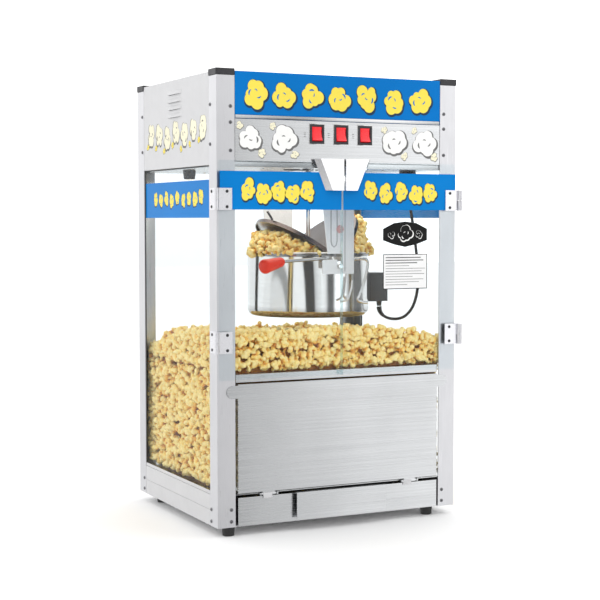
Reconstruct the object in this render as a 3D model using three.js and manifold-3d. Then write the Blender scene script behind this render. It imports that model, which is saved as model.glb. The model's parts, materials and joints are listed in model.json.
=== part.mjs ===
// Countertop popcorn machine: a cabinet on four angle posts with a lit header, side and rear
// glass, two glass front doors, a tilt-out bin panel, a kernel drawer and a tipping kettle
// hung from the ceiling. Millimetres, +Z up.
//
// Inside this file x runs from the left posts' outer face to the right, y from the front face
// of the posts to the back, and z up from the posts' lower ends. The exported group is moved
// so that its origin is the centre of the footprint, on the surface that it stands on.

import * as THREE from "three";
import { mergeVertices } from "three/addons/utils/BufferGeometryUtils.js";
import Module from "manifold-3d";

const wasm = await Module();
wasm.setup();

// ---------------------------------------------------------------- driving dimensions
const WIDTH = 508; // over the posts
const DEPTH = 418; // over the posts
const POST_HEIGHT = 828;
const POST_LEG = 36; // angle section, leg length
const POST_WALL = 2;
const FOOT_HEIGHT = 17;
const GAP = 0.3; // clearance between neighbours
const SHEET = 1.7; // folded sheet metal, one layer
const MID = WIDTH / 2;

const BASE_TOP = 58;
const BASE_SEAM = 29; // fold line along the base rails
const DECK = [58.6, 60.1];
const SILL = [267.3, 282];
const CEILING = [663, 664.5];
const PANEL = [673, 750]; // control panel, bottom and top
const SIGN = [757.7, 836]; // header sign, bottom and top
const INNER_TOP = 827.7; // hidden lips stop under the post caps

const GLASS_SIDE = 4;
const GLASS_FRONT = [-6, -1]; // door glass, front and back faces
const DOOR_HEIGHT = [273, 674.5];
const DOOR_GAP = 2.4;
const DOOR_EDGE = 3; // glass edge, in from the side of the cabinet

const HINGE_LEVELS = { lower: 342.5, upper: 604 };
const HINGE_PIN = [-5, -10.5]; // vertical hinge axis, left side
const HINGE_HALF = 20; // half height of a leaf
const KNUCKLE_R = 4.5;

const BIN = { side: 40.5, bottom: 62, top: 264.5, hingeY: -1.05, hingeZ: 58 };
const DRAWER = { front: [1, 54], side: 40.5, trayEdge: 48, depth: 385 };

const KETTLE_X = 289;
const KETTLE_Y = 209;
const KETTLE_R = 123;
const KETTLE_FLOOR = 374;
const KETTLE_RIM = 503;
const PIVOT_Z = 476; // hanger seats, the kettle tips about this line
const HANGER_Y = 138; // hanger plates, before and behind the kettle axis
const LID_HINGE = { out: 14, z: 506.5 };
const LID_RAISED = { left: 35, right: 44 }; // degrees, as the popcorn holds them
const COUPLING_Z = 631; // lower face of the drive coupling

// ---------------------------------------------------------------- finishes
const finish = (color, roughness, metalness, opacity = 1) =>
  new THREE.MeshStandardMaterial({
    color, roughness, metalness, opacity, transparent: opacity < 1,
  });
const paint = finish(0xe4e4e8, 0.4, 0.3);
const aluminium = finish(0xd6d7db, 0.35, 0.8);
const brushed = finish(0xa9abb0, 0.35, 0.9);
const polished = finish(0xc9c9cc, 0.15, 1);
const lidSteel = finish(0x7d7d80, 0.3, 0.9);
const signBlue = finish(0x0a6cd8, 0.35, 0);
const blackPlastic = finish(0x17171a, 0.4, 0);
const rubber = finish(0x1b1b1c, 0.8, 0);
const redPlastic = finish(0xc41a12, 0.3, 0);
const darkPaint = finish(0x3b3b3f, 0.45, 0.2);
const glass = finish(0xdfeaf0, 0.05, 0, 0.3);
const lampGlass = finish(0xfff4e0, 0.2, 0, 0.8);
const popcorn = finish(0xf0c878, 0.8, 0);

// ---------------------------------------------------------------- shape helpers
const degrees = THREE.MathUtils.degToRad;

// A box between two corners.
function box(x0, x1, y0, y1, z0, z1) {
  const shape = new THREE.BoxGeometry(x1 - x0, y1 - y0, z1 - z0);
  return shape.translate((x0 + x1) / 2, (y0 + y1) / 2, (z0 + z1) / 2);
}

// Turns a shape made along +Y so that it runs from point a to point b.
function along(shape, a, b) {
  const from = new THREE.Vector3(...a);
  const axis = new THREE.Vector3(...b).sub(from);
  const turn = new THREE.Quaternion().setFromUnitVectors(new THREE.Vector3(0, 1, 0), axis.normalize());
  return shape.applyQuaternion(turn).translate(...a);
}

// A round bar from point a to point b, with a radius at each end.
function bar(a, b, radiusA, radiusB = radiusA, sides = 24) {
  const length = new THREE.Vector3(...a).distanceTo(new THREE.Vector3(...b));
  const shape = new THREE.CylinderGeometry(radiusB, radiusA, length, sides);
  return along(shape.translate(0, length / 2, 0), a, b);
}

// A turned shape on the line from a to b; the profile lists [radius, distance along the line].
function turned(profile, a, b, sides = 32) {
  const points = profile.map(([radius, distance]) => new THREE.Vector2(radius, distance));
  return along(new THREE.LatheGeometry(points, sides), a, b);
}

// An outline, as points or a THREE.Shape, drawn in one plane and extruded along the third axis.
const PLANES = {
  xy: [[1, 0, 0], [0, 1, 0], [0, 0, 1]],
  xz: [[1, 0, 0], [0, 0, 1], [0, -1, 0]],
  yz: [[0, 1, 0], [0, 0, 1], [1, 0, 0]],
};
function slab(outline, plane, from, to) {
  const shape = Array.isArray(outline)
    ? new THREE.Shape(outline.map(([a, b]) => new THREE.Vector2(a, b)))
    : outline;
  const solidShape = new THREE.ExtrudeGeometry(shape, {
    depth: to - from, bevelEnabled: false, curveSegments: 12,
  });
  const [u, v, w] = PLANES[plane].map((axis) => new THREE.Vector3(...axis));
  solidShape.applyMatrix4(new THREE.Matrix4().makeBasis(u, v, w));
  const start = plane === "xz" ? to : from;
  const offset = plane === "xz" ? [0, start, 0] : w.multiplyScalar(start).toArray();
  return solidShape.translate(...offset);
}

// A solid between two outlines in xz with the same number of points, at two values of y.
function frustum(nearOutline, nearY, farOutline, farY) {
  const count = nearOutline.length;
  const vertices = [
    ...nearOutline.flatMap(([x, z]) => [x, nearY, z]),
    ...farOutline.flatMap(([x, z]) => [x, farY, z]),
  ];
  const triangles = [];
  for (let i = 1; i < count - 1; i += 1) {
    triangles.push(0, i + 1, i, count, count + i, count + i + 1);
  }
  for (let i = 0; i < count; i += 1) {
    const next = (i + 1) % count;
    triangles.push(i, next, count + next, i, count + next, count + i);
  }
  const shape = new THREE.BufferGeometry();
  shape.setAttribute("position", new THREE.Float32BufferAttribute(vertices, 3));
  shape.setIndex(triangles);
  return shape;
}

// A geometry as a manifold solid, without the zero-area triangles that poles leave.
function solid(shape) {
  const bare = shape.clone();
  bare.deleteAttribute("normal");
  bare.deleteAttribute("uv");
  const merged = mergeVertices(bare, 1e-4);
  const corners = merged.index.array;
  const triangles = [];
  for (let i = 0; i < corners.length; i += 3) {
    const [a, b, c] = corners.slice(i, i + 3);
    if (a !== b && b !== c && c !== a) triangles.push(a, b, c);
  }
  return new wasm.Manifold(new wasm.Mesh({
    numProp: 3,
    vertProperties: new Float32Array(merged.attributes.position.array),
    triVerts: new Uint32Array(triangles),
  }));
}

function geometry(manifold) {
  const mesh = manifold.getMesh();
  const shape = new THREE.BufferGeometry();
  shape.setAttribute("position", new THREE.BufferAttribute(mesh.vertProperties, 3));
  shape.setIndex(new THREE.BufferAttribute(mesh.triVerts, 1));
  return shape;
}

const join = (...shapes) => geometry(shapes.map(solid).reduce((whole, next) => whole.add(next)));
const cut = (shape, ...tools) =>
  geometry(tools.map(solid).reduce((whole, tool) => whole.subtract(tool), solid(shape)));

// The mirror image of a shape in the plane where that axis has that value.
function mirror(shape, axis, plane) {
  const flipped = geometry(solid(shape));
  const position = flipped.attributes.position;
  const offset = { x: 0, y: 1, z: 2 }[axis];
  for (let i = 0; i < position.count; i += 1) {
    position.array[3 * i + offset] = 2 * plane - position.array[3 * i + offset];
  }
  const corners = flipped.index.array;
  for (let i = 0; i < corners.length; i += 3) {
    [corners[i], corners[i + 1]] = [corners[i + 1], corners[i]];
  }
  return flipped;
}
const toRight = (shape) => mirror(shape, "x", MID);
const toRear = (shape) => mirror(shape, "y", DEPTH / 2);

// A closed solid under a height function, on a grid of columns by rows. place turns grid
// coordinates from 0 to 1 into [x, y].
function heightSolid(columns, rows, place, top, bottom) {
  const vertices = [];
  for (let j = 0; j <= rows; j += 1) {
    for (let i = 0; i <= columns; i += 1) {
      const [x, y] = place(i / columns, j / rows);
      vertices.push(x, y, top(x, y), x, y, bottom);
    }
  }
  const upper = (i, j) => 2 * (j * (columns + 1) + i);
  const triangles = [];
  const quad = (a, b, c, d) => triangles.push(a, b, c, a, c, d);
  for (let j = 0; j < rows; j += 1) {
    for (let i = 0; i < columns; i += 1) {
      const corners = [upper(i, j), upper(i + 1, j), upper(i + 1, j + 1), upper(i, j + 1)];
      quad(...corners);
      quad(...corners.map((corner) => corner + 1).reverse());
    }
  }
  const wall = (a, b) => quad(a, a + 1, b + 1, b);
  for (let i = 0; i < columns; i += 1) {
    wall(upper(i, 0), upper(i + 1, 0));
    wall(upper(i + 1, rows), upper(i, rows));
  }
  for (let j = 0; j < rows; j += 1) {
    wall(upper(columns, j), upper(columns, j + 1));
    wall(upper(0, j + 1), upper(0, j));
  }
  const shape = new THREE.BufferGeometry();
  shape.setAttribute("position", new THREE.Float32BufferAttribute(vertices, 3));
  shape.setIndex(triangles);
  return shape;
}

// ---------------------------------------------------------------- the assembly
const machine = new THREE.Group();
const FRONT_REACH = -17.3; // door handles
const BACK_REACH = DEPTH + 8; // mains gland
machine.position.set(-MID, -(FRONT_REACH + BACK_REACH) / 2, FOOT_HEIGHT);

function add(name, shape, material) {
  const mesh = new THREE.Mesh(shape, material);
  mesh.name = name;
  machine.add(mesh);
}

// Adds a left piece and its mirror image on the right.
function addPair(name, shape, material) {
  add(`${name}_left`, shape, material);
  add(`${name}_right`, toRight(shape), material);
}

// ---------------------------------------------------------------- posts, caps and feet
function posts() {
  const angle = slab([
    [0, 0], [POST_LEG, 0], [POST_LEG, POST_WALL],
    [POST_WALL, POST_WALL], [POST_WALL, POST_LEG], [0, POST_LEG],
  ], "xy", 0, POST_HEIGHT);
  addPair("post_front", angle, aluminium);
  addPair("post_rear", toRear(angle), aluminium);

  const overhang = 1.5;
  const capSize = POST_LEG - 0.4;
  const capHeight = 12;
  const round = 3;
  const outline = new THREE.Shape();
  outline.moveTo(capSize, -overhang);
  outline.lineTo(capSize, capSize);
  outline.lineTo(-overhang, capSize);
  outline.lineTo(-overhang, round - overhang);
  outline.absarc(round - overhang, round - overhang, round, Math.PI, 1.5 * Math.PI, false);
  const cap = slab(outline, "xy", POST_HEIGHT + GAP, POST_HEIGHT + capHeight);
  addPair("cap_front", cap, blackPlastic);
  addPair("cap_rear", toRear(cap), blackPlastic);

  const places = {
    front_left: [27, 14], front_right: [456, 19], rear_left: [29, 362], rear_right: [456, 362],
  };
  for (const [name, [x, y]] of Object.entries(places)) {
    add(`foot_${name}`, bar([x, y, -FOOT_HEIGHT], [x, y, -GAP], 11, 12.5), rubber);
  }
}

// ---------------------------------------------------------------- base, deck and sill
// A wall that lies flush between two posts, with a wider layer behind the post flanges.
function leftWall(z0, z1, innerTop = z1) {
  const flush = box(GAP, POST_WALL + GAP, POST_LEG + 0.6, DEPTH - POST_LEG - 0.6, z0, z1);
  const inner = box(POST_WALL + GAP - 0.1, POST_WALL + GAP + SHEET, 2.6, DEPTH - 2.6, z0, innerTop);
  return join(flush, inner);
}
function rearWall(z0, z1, innerTop = z1) {
  const flushFace = DEPTH - GAP;
  const layer = flushFace - POST_WALL;
  const flush = box(POST_LEG + 0.6, WIDTH - POST_LEG - 0.6, layer, flushFace, z0, z1);
  const inner = box(2.6, WIDTH - 2.6, layer - SHEET, layer + 0.1, z0, innerTop);
  return join(flush, inner);
}

function base() {
  const pan = box(2.6, WIDTH - 2.6, 2.6, DEPTH - 2.6, 0, 2);
  const runner = box(51, 54, 6, 380, 1.5, 5);
  const side = leftWall(0, BASE_TOP);
  const seam = box(-1, 1.2, POST_LEG, DEPTH - POST_LEG, BASE_SEAM, BASE_SEAM + 1.2);
  const left = cut(side, seam);
  add("base_housing", join(
    pan, left, toRight(left), rearWall(0, BASE_TOP), runner, toRight(runner),
  ), paint);

  const plate = box(7, WIDTH - 7, 2.6, 410, ...DECK);
  const slots = [0, 1, 2, 3, 4, 5].map((i) => box(104, WIDTH - 104, 110 + 40 * i, 118 + 40 * i, 50, 70));
  const pin = [BIN.hingeY, BIN.hingeZ];
  const ears = [84, 118].map((x) => cut(
    box(x, x + 3, pin[0] - 2.4, 5, 55.4, DECK[1]),
    bar([x - 1, ...pin], [x + 4, ...pin], 1.7, 1.7, 16),
  ));
  add("floor_deck", join(cut(plate, ...slots), ...ears, ...ears.map(toRight)), brushed);

  const sill = slab([
    [3, SILL[0]], [4.5, SILL[0]], [4.5, SILL[1] - 1.5], [29.5, SILL[1] - 1.5], [29.5, 271],
    [31, 271], [31, SILL[1]], [3, SILL[1]],
  ], "yz", 38, WIDTH - 38);
  add("sill_rail", sill, brushed);
}

// ---------------------------------------------------------------- header
// A front panel that lies flush between the posts, with lips behind their flanges.
function frontPanel(z0, z1, lip0, lip1) {
  const flush = box(POST_LEG + 0.6, WIDTH - POST_LEG - 0.6, GAP, POST_WALL + GAP, z0, z1);
  const lips = box(4.4, WIDTH - 4.4, POST_WALL + GAP - 0.1, POST_WALL + GAP + SHEET, lip0, lip1);
  return join(flush, lips);
}

function header() {
  const louvres = [766, 781, 795, 810].map((z) => box(-1, 6, 174, 242, z - 2, z + 2));
  const side = cut(leftWall(CEILING[0] + 3.5, SIGN[1], INNER_TOP), ...louvres);
  add("header_shell", join(
    side, toRight(side), rearWall(CEILING[0] + 3.5, SIGN[1], INNER_TOP),
  ), paint);

  const corner = box(-1, POST_LEG + 0.2, -1, POST_LEG + 0.2, 800, 850);
  const corners = [corner, toRight(corner), toRear(corner), toRight(toRear(corner))];
  add("roof_panel", cut(box(2.8, WIDTH - 2.8, 4.5, DEPTH - 2.8, 828.6, 830.6), ...corners), paint);
  const shaftHole = bar([KETTLE_X, KETTLE_Y, 660], [KETTLE_X, KETTLE_Y, 670], 7);
  add("ceiling_panel", cut(box(6.9, WIDTH - 6.9, 4.6, 411.3, ...CEILING), shaftHole), brushed);

  add("header_sign", frontPanel(...SIGN, PANEL[1] + 0.6, INNER_TOP), signBlue);
  const switchZ = 726;
  const holes = [-51, 0, 51].map((x) => box(MID + x - 13, MID + x + 13, -1, 6, switchZ - 16, switchZ + 16));
  add("control_panel", cut(frontPanel(...PANEL, ...PANEL), ...holes), brushed);

  [-51, 0, 51].forEach((x, index) => rockerSwitch(index + 1, MID + x, switchZ));
}

function rockerSwitch(number, x, z) {
  const bezel = box(x - 15, x + 15, -2.4, 0, z - 18.2, z + 18.2);
  const body = box(x - 12.6, x + 12.6, -0.5, 22, z - 15.6, z + 15.6);
  const well = box(x - 10.6, x + 10.6, -4, 14, z - 13.6, z + 13.6);
  add(`switch_housing_${number}`, cut(join(bezel, body), well), blackPlastic);

  const pivot = [2, z];
  const rocker = slab([
    [-5.2, 12.6], [-2.6, 0], [-5.2, -12.6], [3, -12.6], [6, -4], [6, 4], [3, 12.6],
  ], "yz", x - 10, x + 10);
  rocker.rotateX(degrees(-9)).translate(0, ...pivot);
  add(`switch_rocker_${number}`, rocker, redPlastic);
}

// ---------------------------------------------------------------- glass and doors
function glazing() {
  const inner = POST_WALL + GAP;
  const pane = box(inner, inner + GLASS_SIDE, 4.5, DEPTH - 2.5, BASE_TOP + GAP, CEILING[0] + 3.2);
  addPair("glass", pane, glass);
  add("glass_rear", box(6.7, WIDTH - 6.7, 411.7, 415.5, BASE_TOP + GAP, CEILING[0] + 3.2), glass);
}

function doors() {
  const doorEnd = MID - DOOR_GAP / 2;
  addPair("door_glass", box(DOOR_EDGE, doorEnd, ...GLASS_FRONT, ...DOOR_HEIGHT), glass);

  // A folded hood whose outer side slopes and flares towards the glass, open below.
  const top = 680;
  const bottom = 621;
  const inside = doorEnd - 0.8;
  const back = GLASS_FRONT[0] - GAP;
  const hood = frustum(
    [[202.5, top], [inside, top], [inside, bottom], [227.3, bottom]], FRONT_REACH,
    [[194, top], [inside, top], [inside, bottom], [218.5, bottom]], back,
  );
  const hollow = frustum(
    [[205.5, top - 1.5], [inside - 1.5, top - 1.5], [inside - 1.5, bottom - 6], [232, bottom - 6]],
    FRONT_REACH + 1.5,
    [[196.5, top - 1.5], [inside - 1.5, top - 1.5], [inside - 1.5, bottom - 6], [222.5, bottom - 6]],
    back + 0.5,
  );
  addPair("door_handle", cut(hood, hollow), polished);

  const [pinX, pinY] = HINGE_PIN;
  for (const [level, z] of Object.entries(HINGE_LEVELS)) {
    const low = z - HINGE_HALF;
    const high = z + HINGE_HALF;
    const leafBack = GLASS_FRONT[0] - GAP;
    const bore = bar([pinX, pinY, z - 1], [pinX, pinY, high + 1], 2.3, 2.3, 16);
    const doorLeaf = cut(join(
      box(0.6, 27, leafBack - 1.8, leafBack, low, high),
      box(-4, 1, leafBack - 1.8, leafBack, z + 0.4, high),
      bar([pinX, pinY, z + 0.4], [pinX, pinY, high], KNUCKLE_R),
    ), bore);
    addPair(`door_leaf_${level}`, doorLeaf, polished);
    const postLeaf = join(
      box(-2.1, -GAP, -5.4, 28, low, high),
      box(-2.1, -GAP, -9, -5, low, z - 0.4),
      bar([pinX, pinY, low], [pinX, pinY, z - 0.4], KNUCKLE_R),
      bar([pinX, pinY, z - 2], [pinX, pinY, high - 1], 2, 2, 16),
    );
    addPair(`post_leaf_${level}`, postLeaf, polished);
  }
}

// ---------------------------------------------------------------- bin panel and drawer
function binPanel() {
  const face = [-1.8, -GAP];
  const wing = box(BIN.side, BIN.side + 1.5, -0.4, 30, 66, 255);
  const ear = new THREE.Shape();
  ear.moveTo(BIN.side + 1, 238.5);
  ear.lineTo(BIN.side + 1, 262.5);
  ear.lineTo(30, 262.5);
  ear.absarc(30, 250.5, 12, Math.PI / 2, 1.5 * Math.PI, false);
  const earPlate = slab(ear, "xz", ...face);
  const pin = [BIN.hingeY, BIN.hingeZ];
  const lug = box(90, 115, ...face, BIN.hingeZ - 2.6, BIN.bottom + 1);
  const barrel = bar([88, ...pin], [117, ...pin], 2.2, 2.2, 16);
  const pivot = bar([83, ...pin], [122, ...pin], 1.4, 1.4, 16);
  const left = [wing, earPlate, lug, barrel, pivot];
  add("tilt_panel", join(
    box(BIN.side, WIDTH - BIN.side, ...face, BIN.bottom, BIN.top),
    box(BIN.side, WIDTH - BIN.side, -0.4, 12, BIN.top - 1.5, BIN.top),
    box(BIN.side, WIDTH - BIN.side, -0.4, 24, BIN.bottom, BIN.bottom + 1.5),
    ...left, ...left.map(toRight),
  ), brushed);
}

function kernelDrawer() {
  const front = box(DRAWER.side, WIDTH - DRAWER.side, -1.5, 0, ...DRAWER.front);
  const edge = DRAWER.trayEdge;
  const tray = cut(
    box(edge, WIDTH - edge, -0.2, DRAWER.depth, 5.5, 50),
    box(edge + 1.5, WIDTH - edge - 1.5, 1.3, DRAWER.depth - 1.5, 7, 60),
  );
  const pullTop = box(156, 348, -12, 0, DRAWER.front[1] - 0.5, 56);
  const pullFront = box(156, 348, -12, -10.6, 6, 56);
  add("kernel_drawer", join(front, tray, pullTop, pullFront), brushed);
}

// ---------------------------------------------------------------- kettle
function kettle() {
  const wall = 2;
  const cornerR = 25;
  const profile = [[0, KETTLE_FLOOR]];
  const arc = (radius, steps) => {
    const points = [];
    for (let i = 0; i <= steps; i += 1) {
      const angle = degrees(-90 + (90 * i) / steps);
      points.push([
        KETTLE_R - cornerR + radius * Math.cos(angle),
        KETTLE_FLOOR + cornerR + radius * Math.sin(angle),
      ]);
    }
    return points;
  };
  const rim = [
    [KETTLE_R, KETTLE_RIM - 3], [KETTLE_R + 3, KETTLE_RIM - 3], [KETTLE_R + 3, KETTLE_RIM],
    [KETTLE_R - wall, KETTLE_RIM],
  ];
  profile.push(...arc(cornerR, 4), ...rim, ...arc(cornerR - wall, 4).reverse());
  profile.push([0, KETTLE_FLOOR + wall]);
  const axis = [[KETTLE_X, KETTLE_Y, 0], [KETTLE_X, KETTLE_Y, 1]];
  const pot = turned(profile, ...axis, 40);

  const bridge = cut(
    box(KETTLE_X - 11.5, KETTLE_X + 11.5, KETTLE_Y - 125, KETTLE_Y + 125, KETTLE_RIM - 0.5, KETTLE_RIM + 2.5),
    bar([KETTLE_X, KETTLE_Y, 490], [KETTLE_X, KETTLE_Y, 520], 5.6),
  );
  const pivots = [-1, 1].flatMap((side) => {
    const at = (reach) => [KETTLE_X, KETTLE_Y + side * reach, PIVOT_Z];
    return [bar(at(KETTLE_R - 1.2), at(HANGER_Y - 2), 11), bar(at(KETTLE_R), at(HANGER_Y + 7), 5)];
  });
  const handleFoot = box(254, 272, 77, 90.2, 485, 497);
  const rodEnd = [168, 72.5, 487];
  const rod = bar([262, 80, 491], rodEnd, 3, 3, 16);
  add("kettle_pot", join(pot, bridge, ...pivots, handleFoot, rod), polished);

  const gripLine = new THREE.Vector3(-0.925, -0.337, -0.174).normalize();
  const reach = (distance) => gripLine.clone().multiplyScalar(distance).add(new THREE.Vector3(...rodEnd)).toArray();
  const grip = turned([
    [0, 0], [7, 0], [8.5, 4], [13, 40], [14, 48], [12, 53], [7, 55], [0, 55.5],
  ], reach(2), reach(3));
  add("handle_grip", grip, redPlastic);

  const boxSide = KETTLE_X + KETTLE_R + 0.4;
  const casing = cut(
    box(boxSide, 462, 185, 239, 398, 457),
    box(boxSide - 2, 460.5, 186.5, 237.5, 399.5, 455.5),
  );
  add("junction_box", join(casing, bar([455, 209, 398.5], [455, 209, 387], 6, 4.6)), darkPaint);

  kettleLid("left", -1);
  kettleLid("right", 1);
  agitator();
}

// Half a lid, hinged on the bridge and resting raised on the popcorn. It is drawn closed on
// the right of the kettle's axis, then mirrored if needed and turned about its hinge.
function kettleLid(name, side) {
  const radius = KETTLE_R - 3;
  const hinge = LID_HINGE.out;
  const chord = Math.acos((hinge + 1) / radius);
  const half = new THREE.Shape().absarc(0, 0, radius, -chord, chord, false);
  const ring = new THREE.Shape().absarc(0, 0, radius, -chord, chord, false)
    .absarc(0, 0, radius - 1.5, chord, -chord, true);
  const knuckles = [[-92, -62], [62, 92]].flatMap(([y0, y1]) => [
    bar([hinge, y0, 0], [hinge, y1, 0], 2.2, 2.2, 16),
    box(hinge, hinge + 8, y0, y1, 0, 1.5),
  ]);
  const right = join(slab(half, "xy", 0, 1.5), slab(ring, "xy", -6, 0.2), ...knuckles);
  const lid = side < 0 ? mirror(right, "x", 0) : right;
  lid.translate(-side * hinge, 0, 0).rotateY(degrees(-side * LID_RAISED[name]));
  lid.translate(KETTLE_X + side * hinge, KETTLE_Y, LID_HINGE.z);
  add(`kettle_lid_${name}`, lid, lidSteel);
}

function agitator() {
  const at = (z) => [KETTLE_X, KETTLE_Y, z];
  const blade = box(KETTLE_X - 92, KETTLE_X + 92, KETTLE_Y - 5, KETTLE_Y + 5, 380, 383);
  const cross = box(KETTLE_X - 5, KETTLE_X + 5, KETTLE_Y - 70, KETTLE_Y + 70, 380, 383);
  add("agitator", join(
    bar(at(379), at(COUPLING_Z - 1.5), 4.6), bar(at(379), at(392), 10),
    bar(at(612), at(COUPLING_Z - 1.5), 8), blade, cross,
  ), polished);
}

// ---------------------------------------------------------------- drive and hangers
function drive() {
  const at = (z) => [KETTLE_X, KETTLE_Y, z];
  add("drive_coupling", join(bar(at(COUPLING_Z), at(657), 12), bar(at(650), at(690), 5)), brushed);

  const gearbox = box(KETTLE_X - 42, KETTLE_X + 42, KETTLE_Y - 36, KETTLE_Y + 36, 672, 716);
  const motor = bar([KETTLE_X + 8, KETTLE_Y, 715], [KETTLE_X + 8, KETTLE_Y, 792], 33, 33, 32);
  const legs = [[-38, -32], [38, -32], [-38, 32], [38, 32]].map(([x, y]) =>
    box(KETTLE_X + x - 4, KETTLE_X + x + 4, KETTLE_Y + y - 4, KETTLE_Y + y + 4, CEILING[1] + GAP, 673));
  add("gear_motor", cut(join(gearbox, motor, ...legs), bar(at(660), at(692), 6.5)), darkPaint);

  // A hanger: a tapered plate with a hooked slot that seats the kettle's pivot pin.
  const plateBack = KETTLE_Y - HANGER_Y + 1.2;
  const plate = slab([
    [244, CEILING[0] - GAP], [262, 505], [262, 500], [251, 486], [251, 461], [320, 461],
    [320, CEILING[0] - GAP],
  ], "xz", plateBack - 2.4, plateBack);
  const y0 = plateBack - 4;
  const y1 = plateBack + 2;
  const seat = [KETTLE_X, PIVOT_Z];
  const front = cut(
    join(plate, box(244, 320, plateBack - 0.1, plateBack + 16, CEILING[0] - 2.5, CEILING[0] - GAP)),
    box(240, seat[0] + 5.7, y0, y1, 489, 500.4),
    box(seat[0] - 5.7, seat[0] + 5.7, y0, y1, PIVOT_Z, 495),
    bar([seat[0], y0, seat[1]], [seat[0], y1, seat[1]], 5.7),
  );
  add("hanger_front", front, paint);
  add("hanger_rear", toRear(front), paint);
}

// ---------------------------------------------------------------- lamp and wiring
// The kettle's flex: out of the box, down in a loose loop and up to the ceiling outlet.
const CORD_PATH = [
  [455, 209, 385.6], [456, 208, 377], [459.6, 205, 369.5], [465, 199.5, 364], [471, 191, 361],
  [477, 180.5, 360.5], [482.5, 168.5, 362.5], [487, 156, 368], [490, 144, 377],
  [491.8, 133, 389], [492.6, 124, 404], [492.4, 117, 421], [491.3, 112, 441],
  [489, 109, 464], [485, 107.5, 494], [480, 107, 528], [474.5, 107, 562], [469, 107.3, 593],
  [464.8, 107.8, 618], [463, 108, 634], [463, 108, 643],
];
const CORD_R = 3;

function wiring() {
  const route = new THREE.CatmullRomCurve3(CORD_PATH.map((point) => new THREE.Vector3(...point)));
  const section = new THREE.Shape();
  for (let i = 0; i < 8; i += 1) {
    const angle = (2 * Math.PI * i) / 8;
    const method = i === 0 ? "moveTo" : "lineTo";
    section[method](CORD_R * Math.cos(angle), CORD_R * Math.sin(angle));
  }
  const flex = new THREE.ExtrudeGeometry(section, { steps: 40, extrudePath: route });
  add("kettle_cord", geometry(solid(flex)), rubber);

  const [x, y] = [463, 108];
  add("cord_outlet", join(
    bar([x, y, 646], [x, y, CEILING[0] - GAP], 17), bar([x, y, 643.4], [x, y, 647], 6, 9),
  ), blackPlastic);

  const [lampX, lampY] = [43, 240];
  add("lamp_socket", bar([lampX, lampY, 646], [lampX, lampY, CEILING[0] - GAP], 11, 13), blackPlastic);
  add("lamp_bulb", turned([
    [0, 0], [8, 0], [8, 5], [13, 15], [15, 26], [13, 37], [7, 45], [0, 48],
  ], [lampX, lampY, 645.6], [lampX, lampY, 644.6], 24), lampGlass);

  add("mains_gland", bar([440, DEPTH, 700], [440, BACK_REACH, 700], 9, 6), blackPlastic);
}

// ---------------------------------------------------------------- popcorn
// The loose popcorn lies in a heap that leaves room for the kettle and its handle to tip.
function heapTop(x, y) {
  const bump = (cx, cy, rx, ry, height) =>
    height * Math.exp(-(((x - cx) / rx) ** 2) - ((y - cy) / ry) ** 2);
  const rolling = 330 + bump(70, 170, 120, 130, 30) + bump(250, 10, 230, 80, 36)
    + bump(250, 400, 220, 90, 8) - bump(8, 400, 90, 70, 22) - bump(500, 60, 90, 120, 8)
    + 3 * Math.sin(x / 17) * Math.cos(y / 23);
  return Math.min(rolling, potClearance(x, y), gripClearance(x, y));
}

// The lowest height that the tipping pot reaches over a point.
function potClearance(x, y) {
  const half = Math.sqrt(Math.max(0, (KETTLE_R + 6) ** 2 - (y - KETTLE_Y) ** 2));
  const across = x - KETTLE_X;
  if (half === 0 || Math.abs(across) > half) return 400;
  const corner = Math.hypot(half, PIVOT_Z - KETTLE_FLOOR + 6);
  return across > 40 ? 362 : PIVOT_Z - Math.sqrt(corner ** 2 - across ** 2);
}

// The lowest height that the handle's grip reaches over a point.
function gripClearance(x, y) {
  const away = Math.hypot(Math.max(0, 148 - x, x - 196), Math.max(0, 42 - y, y - 72));
  return 326 + 1.4 * away;
}

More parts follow.
